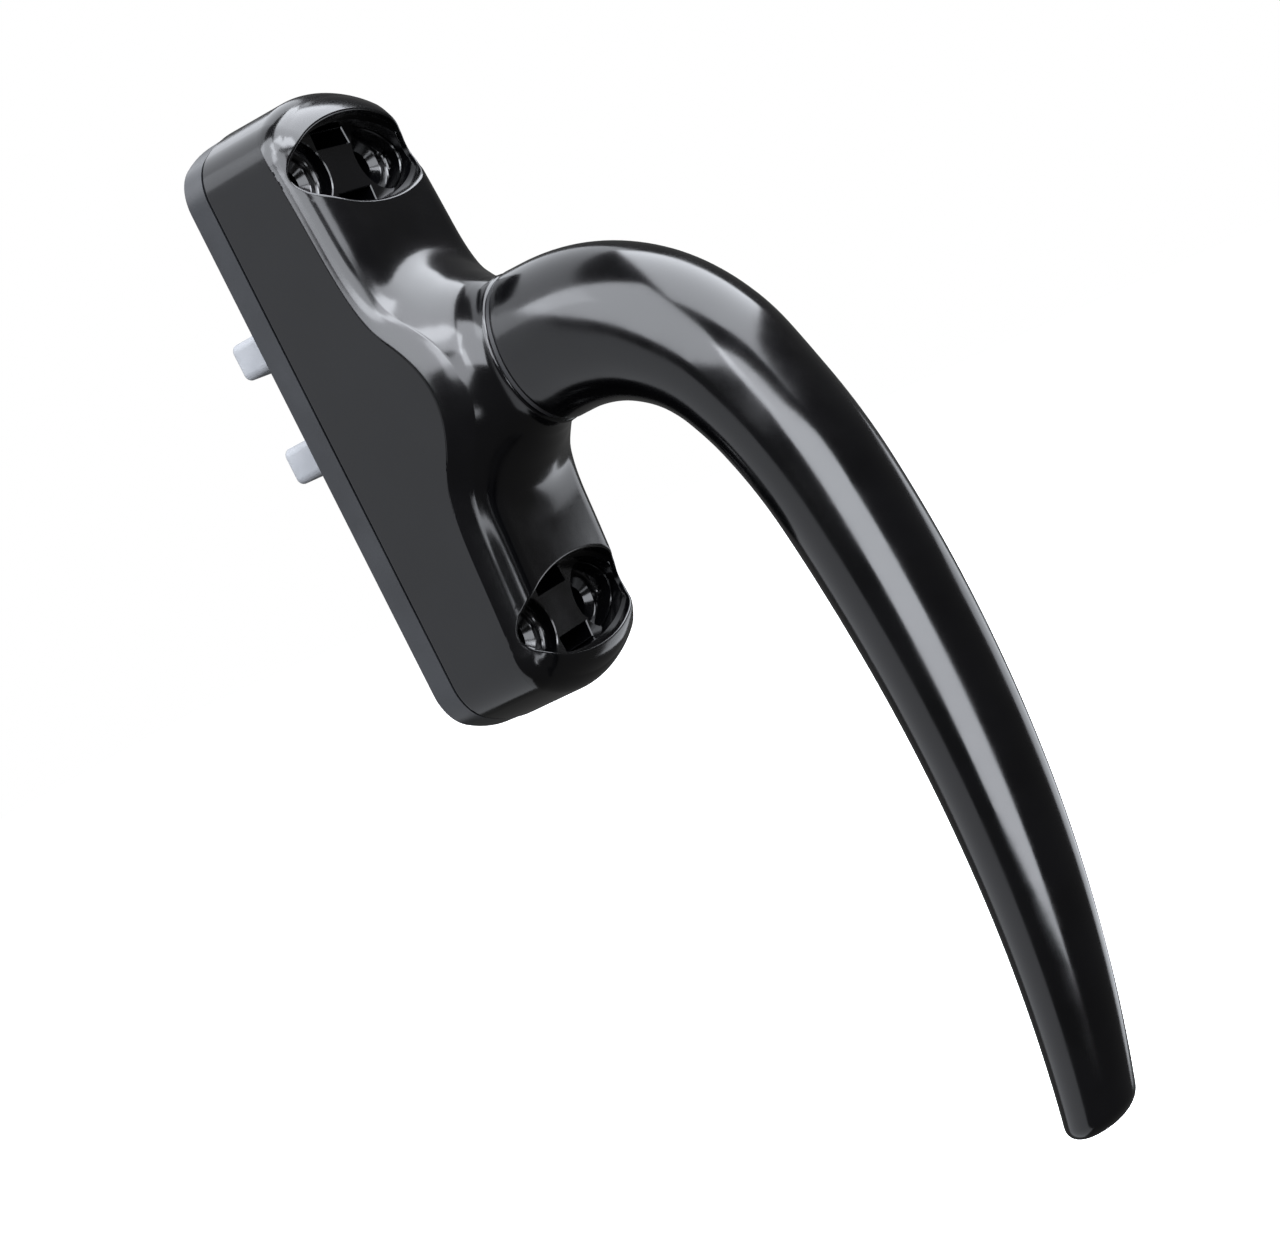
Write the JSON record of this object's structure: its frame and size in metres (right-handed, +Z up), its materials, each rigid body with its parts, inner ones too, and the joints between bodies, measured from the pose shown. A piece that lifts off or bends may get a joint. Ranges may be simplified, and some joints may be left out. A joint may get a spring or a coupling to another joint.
{
  "type": "tilt and turn window handle",
  "caption": "Window handle with a swan-neck lever turning on an oblong base; a hidden rack and pinion slides the fork at the back up and down to work the window's bolts.",
  "frame": {"origin": "where the spindle axis meets the back (mounting) face of the base; also the centre of the fixing screw pattern", "axes": "+Z up along the base, with the lever hanging towards -Z at rest (window closed); -Y towards the room, +Y into the window; +X to the right as seen from the room"},
  "size_m": [0.036, 0.0992, 0.1975],
  "materials": {
    "black_paint": "gloss black powder coat on die-cast aluminium",
    "plate_grey": "satin dark grey coated die-cast aluminium",
    "black_nylon": "moulded nylon",
    "zinc_steel": "zinc plated steel",
    "bright_steel": "bright hardened steel",
    "black_steel": "black oxide",
    "cast_grey": "light grey bare die casting, satin"
  },
  "bodies": {
    "base": {"base_housing": "black_paint", "back_plate": "plate_grey", "plate_screws": "zinc_steel", "neck_sleeve": "black_nylon", "slip_ring": "black_nylon", "detent_plunger_left": "bright_steel", "detent_plunger_right": "bright_steel", "detent_spring_left": "bright_steel", "detent_spring_right": "bright_steel"},
    "handle": {"lever": "black_paint", "grub_screw": "black_steel", "spindle": "zinc_steel", "pinion": "zinc_steel", "detent_disc": "zinc_steel", "thrust_washer": "zinc_steel", "retaining_clip": "bright_steel"},
    "slider": {"carriage": "zinc_steel", "rack_bar": "zinc_steel", "rack_rivets": "bright_steel", "prong_upper": "cast_grey", "prong_lower": "cast_grey"}
  },
  "joints": [
    {"name": "lever_turn", "type": "hinge", "parent": "base", "child": "handle", "pos_m": [0, -0.0354, 0], "axis": [0, -1, 0], "range_deg": [0, 180]},
    {"name": "slider_travel", "type": "slide", "parent": "base", "child": "slider", "axis": [0, 0, -1], "range_m": [0, 0.02045]}
  ],
  "couplings": [
    {"joint": "slider_travel", "follows": "lever_turn", "m_per_rad": 0.0065}
  ]
}
